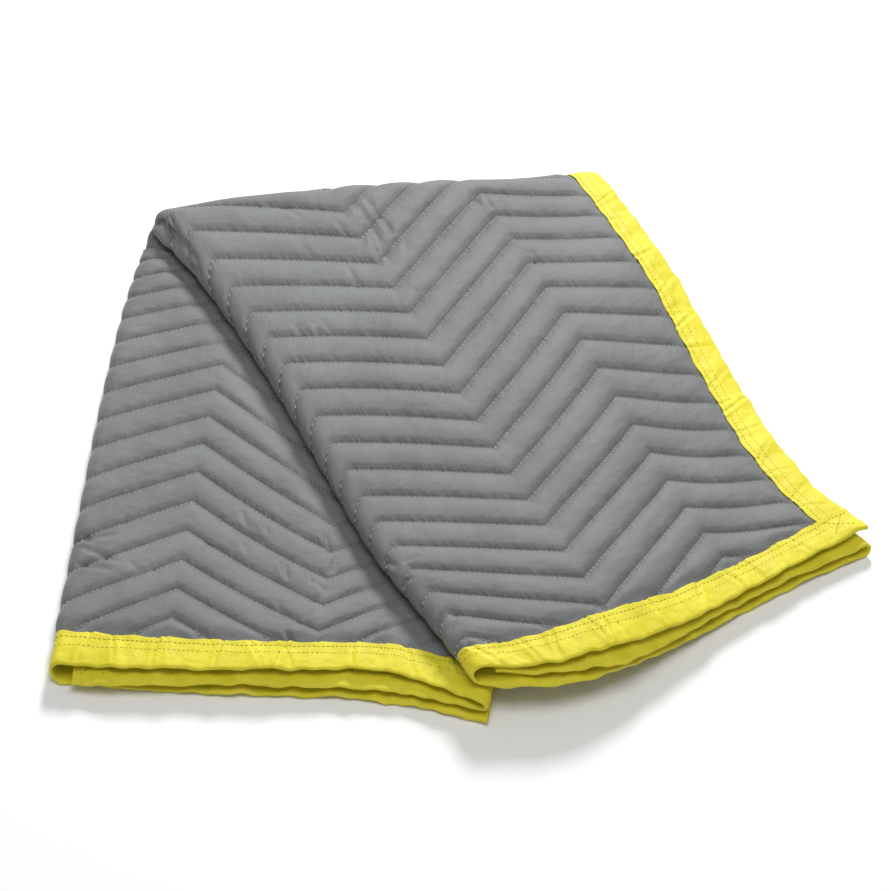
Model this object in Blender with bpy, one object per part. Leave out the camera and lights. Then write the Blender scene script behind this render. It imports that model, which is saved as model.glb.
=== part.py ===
"""Quilted moving pad, folded in thirds and then in half, in metres with +Z up.

A flat sheet point is (s, t): s runs across the pad, t along it, and h is the height above the
middle of its thickness. One function, place, folds every sheet point, so the quilted panel and its
four binding strips share the same folds.
"""

import math

import bmesh
import bpy
import numpy as np
from mathutils import Vector
from mathutils.geometry import delaunay_2d_cdt

# The flat pad
PAD_WIDTH = 1.83
PAD_LENGTH = 1.83
CREST_HALF = 0.0045
STITCH_HALF = 0.0022
LINE_PITCH = 0.0515
FIRST_LINE = 0.0005
ZIGZAG_DEPTH = 0.1165

# The binding tape
TAPE_WIDTH = 0.045
TAPE_THICKNESS = 0.0011
TAPE_GAP = 0.0006
HEM_ZONE = 0.050
ROW_END = 0.057

# The folds
STRIP_WIDTH = 0.612
LAYER_STEP = 0.013
INNER_RADIUS = 0.009
FOLD_AT = 0.980
UPPER_TURN = math.radians(26.0)
LOWER_TURN = math.radians(-6.4)
PIVOT_X = -0.4065
PIVOT_Y = 0.3860
CENTRE_X = 0.032268
CENTRE_Y = 0.023329
FLOOR_LAYER = 0.005
DROP_REACH = 0.29
RIGHT_PART = 0.36

LEFT_STEPS = 6
RIGHT_STEPS = 4
BACK_STEPS = 8
CROWDED = 0.0015

# Zigzag corners across the pad, and whether the line stands back there
ZIGZAG = (
    # across, back
    (0.0000, 0.2),
    (0.1985, 1),
    (0.3970, 0),
    (0.5955, 1),
    (0.7800, 0),
    (0.9785, 1),
    (1.1770, 0),
    (1.3755, 1),
    (1.5740, 0),
    (1.7725, 1),
    (1.8400, 0.66),
)

# How far each layer's end creeps past the strip's even end, across the pad
CREEP = (
    # across, upper end, lower end
    (0.00, 0.0000, -0.0034),
    (0.15, 0.0160, 0.0073),
    (0.30, 0.0260, 0.0019),
    (0.45, 0.0180, -0.0021),
    (0.60, 0.0060, 0.0021),
    (0.66, 0.0220, -0.0060),
    (0.80, 0.0360, -0.0160),
    (0.98, 0.0334, -0.0200),
    (1.10, 0.0297, -0.0260),
    (1.23, 0.0280, -0.0120),
    (1.26, 0.0240, -0.0080),
    (1.45, 0.0246, 0.0002),
    (1.65, 0.0398, -0.0047),
    (1.83, 0.0046, 0.0119),
)

# How far the strip's right side bows in, by distance in front of the back fold
BOW = (
    # front, upper, lower
    (0.00, -0.009, -0.009),
    (0.24, 0.000, 0.004),
    (0.38, 0.018, 0.016),
    (0.53, 0.033, 0.030),
    (0.63, 0.030, 0.040),
    (0.70, 0.018, 0.045),
    (0.80, 0.000, 0.045),
)

# How far the hand-folded layers stray from the even fold, as sums of powers
DRIFT = (
    # power of across, power of front, upper along, upper front, lower along, lower front
    (0, 0, 0.0105, 0.0269, -0.0197, -0.0202),
    (0, 1, -0.0068, 0.0163, -0.0044, 0.0132),
    (0, 2, -0.0061, -0.0359, 0.0292, 0.0054),
    (0, 3, 0.0051, -0.0093, -0.0033, -0.0201),
    (0, 4, 0.0046, 0.0112, -0.0058, 0.0040),
    (1, 0, 0.0029, -0.0004, -0.0006, 0.0225),
    (1, 1, -0.0013, -0.0037, -0.0113, -0.0319),
    (1, 2, -0.0041, -0.0074, 0.0071, -0.0225),
    (1, 3, -0.0114, -0.0237, 0.0000, 0.0118),
    (1, 4, 0.0029, 0.0003, -0.0040, -0.0018),
    (2, 0, 0.0026, -0.0013, 0.0076, -0.0231),
    (2, 1, 0.0103, 0.0092, 0.0156, 0.0035),
    (2, 2, -0.0105, -0.0057, -0.0116, 0.0114),
    (2, 3, 0.0018, -0.0166, 0.0033, -0.0027),
    (2, 4, -0.0055, -0.0034, -0.0047, 0.0071),
    (3, 0, -0.0084, -0.0253, -0.0025, -0.0041),
    (3, 1, 0.0081, 0.0189, 0.0057, 0.0069),
    (3, 2, 0.0059, 0.0148, 0.0055, -0.0013),
    (3, 3, 0.0002, -0.0010, 0.0006, 0.0072),
    (3, 4, 0.0043, 0.0080, -0.0005, 0.0017),
)

HALF_TURN = math.pi / 2
TURN = (UPPER_TURN - LOWER_TURN) / 2
FOLD_TURN = (UPPER_TURN + LOWER_TURN) / 2
LEFT_START = STRIP_WIDTH - LAYER_STEP
LEFT_END = LEFT_START + math.pi * LAYER_STEP
RIGHT_RADIUS = LAYER_STEP / 2
RIGHT_START = LEFT_END + STRIP_WIDTH - LAYER_STEP - RIGHT_RADIUS
RIGHT_END = RIGHT_START + math.pi * RIGHT_RADIUS
AXIS_HEIGHT = FLOOR_LAYER + 2 * LAYER_STEP + INNER_RADIUS


def smooth(x):
    """0 to 1 with level ends."""
    x = np.clip(x, 0, 1)
    return x * x * (3 - 2 * x)


def ease(x):
    """0 to 1 in two equal bends, the gentlest there is."""
    x = np.clip(x, 0, 1)
    return np.where(x < 0.5, 2 * x * x, 1 - 2 * (1 - x) ** 2)


def thirds(s, h):
    """Distance across the strip and lift above its innermost layer, once folded in thirds."""
    left = np.clip((s - LEFT_START) / LAYER_STEP, 0, math.pi)
    right = np.clip((s - RIGHT_START) / RIGHT_RADIUS, 0, math.pi)
    first = np.minimum(s, LEFT_START)
    second = np.clip(s, LEFT_END, RIGHT_START) - LEFT_END
    third = np.maximum(s - RIGHT_END, 0)
    across = STRIP_WIDTH - first - (LAYER_STEP + h) * np.sin(left) + second
    across = across + (RIGHT_RADIUS + h) * np.sin(right) - third
    lift_a = LAYER_STEP + (LAYER_STEP + h) * np.cos(left)
    lift_b = RIGHT_RADIUS - (RIGHT_RADIUS + h) * np.cos(right)
    return across, np.where(s < (LEFT_END + RIGHT_START) / 2, lift_a, lift_b)


def middle_lift(s):
    """Lift of the middle of the sheet, which sets how wide its back fold is."""
    return np.clip(thirds(s, 0.0)[1], 0, 2 * LAYER_STEP)


def fold_line(s):
    """Where along the pad its back fold is, at s."""
    return FOLD_AT - thirds(s, 0.0)[0] * math.tan(TURN)


def swell(x, y):
    """How much the stack stands looser than its even height, at a place on the floor."""
    loose = 0.05 * np.sin(9.0 * x + 4.0 * y + 0.6) + 0.04 * np.sin(-6.0 * x + 11.0 * y)
    lower = y - PIVOT_Y - (x - PIVOT_X) * math.tan(LOWER_TURN) + 0.740
    upper = (x - PIVOT_X - 0.425) * math.sin(UPPER_TURN) - (y - PIVOT_Y + 0.872) * math.cos(UPPER_TURN)
    loose = loose + 0.22 * np.exp(-((lower / 0.09) ** 2)) * smooth((0.05 - x) / 0.32)
    return loose + 0.12 * np.exp(-((upper / 0.09) ** 2)) * smooth((x + 0.05) / 0.32)


def stray(across, run, upper):
    """How far along the back fold, and in front of it, a hand-folded layer lies off its even place."""
    a = (across - 0.3) / 0.3
    f = (np.maximum(run, 0) - 0.4) / 0.4
    along, front = 0.0, 0.0
    for i, j, upper_along, upper_front, lower_along, lower_front in DRIFT:
        term = a**i * f**j
        along = along + (upper * upper_along + (1 - upper) * lower_along) * term
        front = front + (upper * upper_front + (1 - upper) * lower_front) * term
    return along, front


def place(s, t, h):
    """The folded place of sheet points, as rows of x, y, z."""
    s, t, h = np.broadcast_arrays(np.asarray(s, float), np.asarray(t, float), np.asarray(h, float))
    across, lift = thirds(s, h)
    past = across * math.sin(TURN) + (t - FOLD_AT) * math.cos(TURN)
    along = across * math.cos(TURN) - (t - FOLD_AT) * math.sin(TURN)
    bend = HALF_TURN * (INNER_RADIUS + middle_lift(s))
    even = HALF_TURN * (INNER_RADIUS + LAYER_STEP)
    upper_run = (FOLD_AT - across * math.tan(TURN)) * math.cos(TURN)
    lower_run = PAD_LENGTH * math.cos(TURN) - upper_run
    table = np.array(CREEP)
    upper_creep = np.interp(s, table[:, 0], table[:, 1])
    lower_creep = np.interp(s, table[:, 0], table[:, 2])
    upper_run = (-past - bend) * (upper_run + upper_creep - even) / (upper_run - bend)
    lower_run = (past - bend) * (lower_run + lower_creep - even) / (lower_run - bend)
    run = np.where(past < 0, upper_run, lower_run)
    angle = np.clip(-past / bend, -1, 1) * HALF_TURN
    radius = INNER_RADIUS + lift
    front = np.maximum(run, 0) - radius * np.cos(angle)
    right = smooth((across - RIGHT_PART) / (STRIP_WIDTH - RIGHT_PART))
    table = np.array(BOW)
    upper_bow = np.interp(front, table[:, 0], table[:, 1])
    lower_bow = np.interp(front, table[:, 0], table[:, 2])
    along = along - right * np.where(past < 0, upper_bow, lower_bow)
    tip = smooth((0.20 - across) / 0.20) * smooth((front - 0.60) / 0.27)
    along = along + np.where(past < 0, 0.018 * tip, 0)
    front = front + 0.014 * right * np.exp(-((front / 0.30) ** 2))
    more_along, more_front = stray(across, run, (1 + np.sin(angle)) / 2)
    along = along + more_along
    front = front + more_front
    x = PIVOT_X + along * math.cos(FOLD_TURN) + front * math.sin(FOLD_TURN)
    y = PIVOT_Y + along * math.sin(FOLD_TURN) - front * math.cos(FOLD_TURN)
    z = AXIS_HEIGHT + radius * np.sin(angle)
    beyond = (x - PIVOT_X) * math.cos(LOWER_TURN) + (y - PIVOT_Y) * math.sin(LOWER_TURN) - STRIP_WIDTH
    settle = (2 * INNER_RADIUS - LAYER_STEP) * smooth(front / 0.15)
    drop = 3 * LAYER_STEP * ease((beyond + 0.010) / DROP_REACH)
    z = z - np.where(past < 0, settle + drop, 0)
    return np.stack([x - CENTRE_X, y - CENTRE_Y, z * (1 + swell(x, y))], axis=-1)


def edge_distance(s, t):
    """Distance in from the nearest edge of the flat pad."""
    return np.minimum(np.minimum(s, PAD_WIDTH - s), np.minimum(t, PAD_LENGTH - t))


def zigzag(s):
    """How far back a quilting line stands at s."""
    table = np.array(ZIGZAG)
    return ZIGZAG_DEPTH * np.interp(s, table[:, 0], table[:, 1])


def half_thickness(s, t):
    """Half the pad's thickness: thin on each stitched line and in the hems, full between lines."""
    line = (t - FIRST_LINE - zigzag(s)) / LINE_PITCH
    full = np.abs(np.sin(math.pi * line)) ** 0.8
    inside = smooth((edge_distance(s, t) - HEM_ZONE) / 0.02)
    return STITCH_HALF + (CREST_HALF - STITCH_HALF) * full * inside


def columns():
    """Places across the pad where the mesh has a column: zigzag corners, mid-legs and side folds."""
    corners = [row[0] for row in ZIGZAG if 0 < row[0] < PAD_WIDTH]
    middles = [(a + b) / 2 for a, b in zip(corners, corners[1:])]
    turns = list(np.linspace(LEFT_START, LEFT_END, LEFT_STEPS + 1))
    turns += list(np.linspace(RIGHT_START, RIGHT_END, RIGHT_STEPS + 1))
    edges = [0.0, HEM_ZONE, 0.115, PAD_WIDTH - HEM_ZONE, PAD_WIDTH]
    kept = list(turns) + edges
    for value in corners + middles:
        if min(abs(value - other) for other in kept) > 0.018:
            kept.append(value)
    return sorted(kept)


def back_lines():
    """Offsets of the mesh lines that run along the back fold, in shares of its half bend."""
    inner = [2 * k / BACK_STEPS - 1 for k in range(BACK_STEPS + 1)]
    return [-1.7] + inner + [1.7]


def back_line(s, share):
    return fold_line(s) + share * HALF_TURN * (INNER_RADIUS + middle_lift(s)) / math.cos(TURN)


def side_stations(near, far):
    """Mesh lines across a side hem, each as its t at the edge and at the inner side of the hem."""
    across = np.array([near, far])
    bent = [tuple(back_line(across, share)) for share in back_lines()]
    first = min(min(pair) for pair in bent) - 0.03
    last = max(max(pair) for pair in bent) + 0.03
    plain = []
    for start, end in ((HEM_ZONE, first), (last, PAD_LENGTH - HEM_ZONE)):
        count = max(1, round((end - start) / 0.085))
        plain += [(value, value) for value in np.linspace(start, end, count + 1)]
    return sorted(plain + bent)


def add_path(points, links, path):
    """One line of the flat mesh, as points and the links between them."""
    start = len(points)
    points.extend(Vector((float(s), float(t))) for s, t in path)
    links.extend((k, k + 1) for k in range(start, len(points) - 1))


def panel_lines():
    """Every line that the panel's mesh follows, on the flat sheet."""
    points, links = [], []
    across = columns()
    for s in across:
        add_path(points, links, [(s, 0.0), (s, HEM_ZONE), (s, PAD_LENGTH - HEM_ZONE), (s, PAD_LENGTH)])
    for t in (0.0, HEM_ZONE, PAD_LENGTH - HEM_ZONE, PAD_LENGTH):
        add_path(points, links, [(s, t) for s in across])
    for here, ahead in zip(across, across[1:]):
        add_path(points, links, [(here, 0.0), (ahead, HEM_ZONE)])
        add_path(points, links, [(here, PAD_LENGTH), (ahead, PAD_LENGTH - HEM_ZONE)])
    for share in back_lines():
        add_path(points, links, [(s, back_line(s, share)) for s in across])
    for near, far in ((0.0, HEM_ZONE), (PAD_WIDTH, PAD_WIDTH - HEM_ZONE)):
        stations = side_stations(near, far)
        for t_near, t_far in stations:
            add_path(points, links, [(near, t_near), (far, t_far)])
        for here, ahead in zip(stations, stations[1:]):
            add_path(points, links, [(near, here[0]), (far, ahead[1])])
    inner = [s for s in across if ROW_END < s < PAD_WIDTH - ROW_END]
    for row in range(-5, 2 * int(PAD_LENGTH / LINE_PITCH) + 2):
        start = FIRST_LINE + row * LINE_PITCH / 2
        path = []
        for s in [ROW_END] + inner + [PAD_WIDTH - ROW_END]:
            t = start + float(zigzag(s))
            if ROW_END < t < PAD_LENGTH - ROW_END:
                path.append((s, t))
            elif len(path) > 1:
                add_path(points, links, path)
                path = []
        if len(path) > 1:
            add_path(points, links, path)
    return points, links


def rest_on_floor(corners, s, t):
    """Presses the parts of the panel that face the floor flat onto it."""
    z = corners[:, 2]
    pressed = np.maximum(0.0, z - 0.004 * (1 - smooth((z - 0.004) / 0.008)))
    low = (z < 0.012) & (edge_distance(s, t) > HEM_ZONE + 0.002)
    corners[low, 2] = pressed[low]


def flat_mesh():
    """The flat sheet in triangles that keep to its lines, with crowded points made one."""
    points, links = panel_lines()
    made = delaunay_2d_cdt(points, links, [], 0, 1e-5)
    sheet = bmesh.new()
    corners = [sheet.verts.new((point.x, point.y, 0.0)) for point in made[0]]
    for a, b, c in made[2]:
        sheet.faces.new((corners[a], corners[b], corners[c]))
    bmesh.ops.dissolve_degenerate(sheet, dist=CROWDED, edges=sheet.edges[:])
    bmesh.ops.triangulate(sheet, faces=sheet.faces[:])
    for face in sheet.faces:
        face.normal_update()
        if face.normal.z < 0:
            face.normal_flip()
    sheet.verts.index_update()
    s = np.array([corner.co.x for corner in sheet.verts])
    t = np.array([corner.co.y for corner in sheet.verts])
    cells = [[corner.index for corner in face.verts] for face in sheet.faces]
    sheet.free()
    return s, t, cells


def panel_mesh():
    """The quilted panel: both faces of the sheet on the same flat mesh, and the rim between them."""
    s, t, cells = flat_mesh()
    half = half_thickness(s, t)
    outer = place(s, t, half)
    inner = place(s, t, -half)
    face_down = place(s, t, half + 0.001)[:, 2] < outer[:, 2]
    for corners, down in ((outer, face_down), (inner, ~face_down)):
        picked = np.flatnonzero(down)
        lowered = corners[picked]
        rest_on_floor(lowered, s[picked], t[picked])
        corners[picked] = lowered
    count = len(s)
    faces = []
    rim = {}
    for a, b, c in cells:
        faces.append((c, b, a))
        faces.append((a + count, b + count, c + count))
        for i, j in ((a, b), (b, c), (c, a)):
            if (j, i) in rim:
                del rim[(j, i)]
            else:
                rim[(i, j)] = True
    for i, j in rim:
        faces.append((i, j, j + count, i + count))
    return np.concatenate([outer, inner]), faces


def tape_section():
    """Closed outline of the binding: distance in from the edge, and height, round its two walls."""
    wall = STITCH_HALF + TAPE_GAP
    outside = wall + TAPE_THICKNESS
    nose = TAPE_GAP + TAPE_THICKNESS
    return (
        # in from the edge, height
        (TAPE_WIDTH, outside),
        (0.0, outside),
        (-nose, 0.4 * outside),
        (-nose, -0.4 * outside),
        (0.0, -outside),
        (TAPE_WIDTH, -outside),
        (TAPE_WIDTH, -wall),
        (-TAPE_GAP, -wall),
        (-TAPE_GAP, wall),
        (TAPE_WIDTH, wall),
    )


def sweep(stations, flip):
    """A solid through tape sections, each on one mesh line of the hem and straight as it is."""
    section = np.array(tape_section())
    ring = len(section)
    share = (section[:, 0] / HEM_ZONE)[:, None]
    rings = []
    for s_edge, t_edge, s_inner, t_inner in stations:
        edge = place(s_edge, t_edge, section[:, 1])
        inner = place(s_inner, t_inner, section[:, 1])
        rings.append(edge + (inner - edge) * share)
    corners = np.concatenate(rings)
    faces = []
    for k in range(0, (len(stations) - 1) * ring, ring):
        for i in range(ring):
            j = (i + 1) % ring
            here, there, far_there, far_here = k + i, k + j, k + ring + j, k + ring + i
            if section[i, 0] > section[j, 0]:
                faces.append((here, there, far_here))
                faces.append((there, far_there, far_here))
            else:
                faces.append((here, there, far_there))
                faces.append((here, far_there, far_here))
    last = (len(stations) - 1) * ring
    for wall in ((9, 0, 1, 8), (8, 1, 2), (8, 2, 3, 7), (7, 3, 4), (7, 4, 5, 6)):
        faces.append([i for i in wall[::-1]])
        faces.append([last + i for i in wall])
    if flip:
        faces = [face[::-1] for face in faces]
    return corners, faces


def end_tape(at_lower_end):
    """Binding of an end of the pad, right across it and round both side folds."""
    edge, inner = (PAD_LENGTH, PAD_LENGTH - HEM_ZONE) if at_lower_end else (0.0, HEM_ZONE)
    return sweep([(s, edge, s, inner) for s in columns()], not at_lower_end)


def side_tape(at_far_side):
    """Binding of a side of the pad, between the two end bindings and round the back fold."""
    edge, inner = (PAD_WIDTH, PAD_WIDTH - HEM_ZONE) if at_far_side else (0.0, HEM_ZONE)
    stop = TAPE_WIDTH + TAPE_GAP
    lines = side_stations(edge, inner)
    lines[0] = (stop, stop)
    lines[-1] = (PAD_LENGTH - stop, PAD_LENGTH - stop)
    return sweep([(edge, t_edge, inner, t_inner) for t_edge, t_inner in lines], at_far_side)


def add_material(name, colour, roughness):
    material = bpy.data.materials.new(name)
    material.use_nodes = True
    shader = material.node_tree.nodes["Principled BSDF"]
    shader.inputs["Base Color"].default_value = (*colour, 1.0)
    shader.inputs["Roughness"].default_value = roughness
    return material


def add_solid(name, made, colour, roughness):
    corners, faces = made
    mesh = bpy.data.meshes.new(name)
    mesh.from_pydata([tuple(corner) for corner in corners], [], faces)
    mesh.validate()
    mesh.materials.append(add_material(name, colour, roughness))
    bpy.context.collection.objects.link(bpy.data.objects.new(name, mesh))


for leftover in list(bpy.data.objects):
    bpy.data.objects.remove(leftover, do_unlink=True)

GREY = (0.19, 0.20, 0.20)
YELLOW = (0.75, 0.68, 0.04)

add_solid("quilted_panel", panel_mesh(), GREY, 0.55)
add_solid("upper_end_binding", end_tape(False), YELLOW, 0.6)
add_solid("lower_end_binding", end_tape(True), YELLOW, 0.6)
add_solid("outer_side_binding", side_tape(False), YELLOW, 0.6)
add_solid("inner_side_binding", side_tape(True), YELLOW, 0.6)
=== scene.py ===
# %% [markdown]
# # A folded moving pad
#
# A moving pad is two sheets of cloth with a layer of padding between them, stitched through in
# zigzag rows and bound round its four edges with a folded tape. Here it lies folded in three
# across its width and then in two along its length, with the upper half swung to one side.
#
# The lesson makes each piece flat first, as a sewing room does, and folds it afterwards. A flat
# piece is easy to cut, sew and measure, and one fold map then carries cloth, tape and thread to
# their places together.

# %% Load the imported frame
import math

import bmesh
import bpy
import numpy as np
from mathutils import Matrix, Vector


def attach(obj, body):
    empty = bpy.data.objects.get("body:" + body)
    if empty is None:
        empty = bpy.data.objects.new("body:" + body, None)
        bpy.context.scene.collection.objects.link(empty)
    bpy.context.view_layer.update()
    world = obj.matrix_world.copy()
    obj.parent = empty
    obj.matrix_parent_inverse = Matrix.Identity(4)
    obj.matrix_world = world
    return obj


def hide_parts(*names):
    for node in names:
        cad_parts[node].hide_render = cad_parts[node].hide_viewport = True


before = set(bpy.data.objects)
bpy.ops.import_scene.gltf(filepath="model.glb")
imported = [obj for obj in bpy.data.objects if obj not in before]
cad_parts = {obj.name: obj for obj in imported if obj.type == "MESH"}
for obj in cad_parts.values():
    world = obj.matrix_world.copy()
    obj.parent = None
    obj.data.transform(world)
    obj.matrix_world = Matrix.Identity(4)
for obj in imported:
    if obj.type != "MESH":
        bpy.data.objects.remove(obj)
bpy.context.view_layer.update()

# %% [markdown]
# ## The camera
#
# The camera comes first, so that every piece can be judged through it. It stands in front of
# the pad and looks down at 47 degrees through a long lens, which keeps the far hems nearly as
# large as the near ones. A long lens far away gives the calm, flat perspective of a product
# picture, where a short lens close by would make the front swell. Its focal length is given in
# pixels of the picture, and turned into millimetres of the sensor.

# %% Camera
ELEVATION = math.radians(47.0)
DISTANCE = 3.4
CENTRE_X, CENTRE_Y = 0.032268, 0.023329
AIM = Vector((-CENTRE_X, -CENTRE_Y, 0.0))
FOCAL_PIXELS = 2432
PICTURE_PIXELS = 891
SENSOR = 36

camera_data = bpy.data.cameras.new("camera")
camera_data.lens = FOCAL_PIXELS / PICTURE_PIXELS * SENSOR
camera_data.sensor_width = SENSOR
camera = bpy.data.objects.new("camera", camera_data)
bpy.context.scene.collection.objects.link(camera)
camera.rotation_euler = (math.pi / 2 - ELEVATION, 0, 0)
camera.location = AIM + Vector((0, -math.cos(ELEVATION), math.sin(ELEVATION))) * DISTANCE
bpy.context.scene.camera = camera
print("lens", round(camera_data.lens, 1), "mm at", [round(v, 3) for v in camera.location])

# %% [markdown]
# ## The sizes of the pad
#
# The flat pad is square. A point on it has two numbers: how far it is across the pad from the
# first side hem, and how far along it is from the upper end hem. The quilting follows a zigzag
# that swings to and fro across the pad, and each row repeats it one pitch further along.

# %% Sizes of the flat pad
PAD_WIDTH = 1.83
PAD_LENGTH = 1.83
STITCH_HALF = 0.0022
LINE_PITCH = 0.0515
FIRST_LINE = 0.0005
TAPE_WIDTH = 0.045

ZIGZAG_DEPTH = 0.1165
ZIGZAG = np.array((  # across, swing
    (0.0000, 0.2), (0.1985, 1.0), (0.3970, 0.0), (0.5955, 1.0), (0.7800, 0.0), (0.9785, 1.0),
    (1.1770, 0.0), (1.3755, 1.0), (1.5740, 0.0), (1.7725, 1.0), (1.8400, 0.66)))


def zigzag(s):
    """How far the quilting rows are swung along the pad, at this place across it."""
    return ZIGZAG_DEPTH * np.interp(s, ZIGZAG[:, 0], ZIGZAG[:, 1])


def quilt_row(s, t):
    """The number of the quilting row: whole numbers lie on a line of stitches."""
    return (t - FIRST_LINE - zigzag(s)) / LINE_PITCH


def edge_distance(s, t):
    return np.minimum(np.minimum(s, PAD_WIDTH - s), np.minimum(t, PAD_LENGTH - t))


def smooth(x):
    x = np.clip(x, 0, 1)
    return x * x * (3 - 2 * x)


def ease(x):
    x = np.clip(x, 0, 1)
    return np.where(x < 0.5, 2 * x * x, 1 - 2 * (1 - x) ** 2)


print(int(PAD_LENGTH / LINE_PITCH), "rows of quilting")

# %% [markdown]
# ## Folding
#
# The pad is first folded in three across its width, like a letter: one bend at the left, one at
# the right. The strip is then turned over itself at the back, along a line that runs at an
# angle, so the upper half leaves the lower one and swings out to the right. It could be done
# with a cloth simulation, but a simulation never lands on the hems of the picture. A map that is
# written down does. Each bend is an arc as long as the cloth that goes round it, so the bends
# don't stretch it. What the next cell adds does, by about 5 percent at a usual point and more
# than 16 percent at one in ten, which a simulation would never do.

# %% The fold in three
STRIP_WIDTH = 0.612
LAYER_STEP = 0.013
INNER_RADIUS = 0.009
FOLD_AT = 0.980
LEFT_START = STRIP_WIDTH - LAYER_STEP
LEFT_END = LEFT_START + math.pi * LAYER_STEP
RIGHT_RADIUS = LAYER_STEP / 2
RIGHT_START = LEFT_END + STRIP_WIDTH - LAYER_STEP - RIGHT_RADIUS
RIGHT_END = RIGHT_START + math.pi * RIGHT_RADIUS


def thirds(s, h):
    """Folds the width in three. Gives the place across the strip, and the lift off its outer
    third, for cloth that stands h off the middle of the padding."""
    left = np.clip((s - LEFT_START) / LAYER_STEP, 0, math.pi)
    right = np.clip((s - RIGHT_START) / RIGHT_RADIUS, 0, math.pi)
    first = np.minimum(s, LEFT_START)
    second = np.clip(s, LEFT_END, RIGHT_START) - LEFT_END
    third = np.maximum(s - RIGHT_END, 0)
    across = STRIP_WIDTH - first - (LAYER_STEP + h) * np.sin(left) + second
    across = across + (RIGHT_RADIUS + h) * np.sin(right) - third
    lift_left = LAYER_STEP + (LAYER_STEP + h) * np.cos(left)
    lift_right = RIGHT_RADIUS - (RIGHT_RADIUS + h) * np.cos(right)
    return across, np.where(s < (LEFT_END + RIGHT_START) / 2, lift_left, lift_right)


print("bends from", round(LEFT_START, 3), "and", round(RIGHT_START, 3), "m across")

# %% [markdown]
# The back bend goes round as a half turn, wider for the outer layers than for the inner ones.
# Folded layers never end level: each one creeps past the next, by a few millimetres here and a
# few centimetres there, and the strip bows to the side and drifts off its even place.
#
# Three tables hold this. The bow was set one by one. The drift, a polynomial in the place on the
# strip, was not: a separate program fitted its numbers to the seams and hems in the picture, and
# it gave about half of the creep's numbers as well. A fit comes close to the picture, but its
# numbers mean nothing on their own and can't be changed by hand, where named sizes could be.

# %% The fold in two, with its creep, bow and drift
UPPER_TURN = math.radians(26.0)
LOWER_TURN = math.radians(-6.4)
HALF_TURN = math.pi / 2
TURN = (UPPER_TURN - LOWER_TURN) / 2
FOLD_TURN = (UPPER_TURN + LOWER_TURN) / 2
PIVOT_X, PIVOT_Y = -0.4065, 0.3860
FLOOR_LAYER = 0.005
AXIS_HEIGHT = FLOOR_LAYER + 2 * LAYER_STEP + INNER_RADIUS
DROP_REACH = 0.29
DROP_EARLY = 0.010
SETTLE_REACH = 0.15
RIGHT_PART = 0.36
RIGHT_FOLD_PULL, RIGHT_FOLD_REACH = 0.014, 0.30
TIP_SHIFT, TIP_WIDTH, TIP_START, TIP_LENGTH = 0.018, 0.20, 0.60, 0.27
HALF_STRIP, HALF_RUN = 0.3, 0.4
LOWER_HEM = 0.740
UPPER_HEM_X, UPPER_HEM_Y = 0.425, 0.872
LOWER_HEM_SWELL, UPPER_HEM_SWELL, HEM_SWELL_REACH = 0.22, 0.12, 0.09

CREEP = np.array((  # across, upper end, lower end
    (0.00, 0.0000, -0.0034), (0.15, 0.0160, 0.0073), (0.30, 0.0260, 0.0019),
    (0.45, 0.0180, -0.0021), (0.60, 0.0060, 0.0021), (0.66, 0.0220, -0.0060),
    (0.80, 0.0360, -0.0160), (0.98, 0.0334, -0.0200), (1.10, 0.0297, -0.0260),
    (1.23, 0.0280, -0.0120), (1.26, 0.0240, -0.0080), (1.45, 0.0246, 0.0002),
    (1.65, 0.0398, -0.0047), (1.83, 0.0046, 0.0119)))
BOW = np.array((  # distance in front of the fold, upper half, lower half
    (0.00, -0.009, -0.009), (0.24, 0.000, 0.004), (0.38, 0.018, 0.016), (0.53, 0.033, 0.030),
    (0.63, 0.030, 0.040), (0.70, 0.018, 0.045), (0.80, 0.000, 0.045)))

DRIFT = np.array((  # powers of across and front, upper along and front, lower along and front
    (0, 0, 0.0105, 0.0269, -0.0197, -0.0202), (0, 1, -0.0068, 0.0163, -0.0044, 0.0132),
    (0, 2, -0.0061, -0.0359, 0.0292, 0.0054), (0, 3, 0.0051, -0.0093, -0.0033, -0.0201),
    (0, 4, 0.0046, 0.0112, -0.0058, 0.0040), (1, 0, 0.0029, -0.0004, -0.0006, 0.0225),
    (1, 1, -0.0013, -0.0037, -0.0113, -0.0319), (1, 2, -0.0041, -0.0074, 0.0071, -0.0225),
    (1, 3, -0.0114, -0.0237, 0.0000, 0.0118), (1, 4, 0.0029, 0.0003, -0.0040, -0.0018),
    (2, 0, 0.0026, -0.0013, 0.0076, -0.0231), (2, 1, 0.0103, 0.0092, 0.0156, 0.0035),
    (2, 2, -0.0105, -0.0057, -0.0116, 0.0114), (2, 3, 0.0018, -0.0166, 0.0033, -0.0027),
    (2, 4, -0.0055, -0.0034, -0.0047, 0.0071), (3, 0, -0.0084, -0.0253, -0.0025, -0.0041),
    (3, 1, 0.0081, 0.0189, 0.0057, 0.0069), (3, 2, 0.0059, 0.0148, 0.0055, -0.0013),
    (3, 3, 0.0002, -0.0010, 0.0006, 0.0072), (3, 4, 0.0043, 0.0080, -0.0005, 0.0017)))


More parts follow.
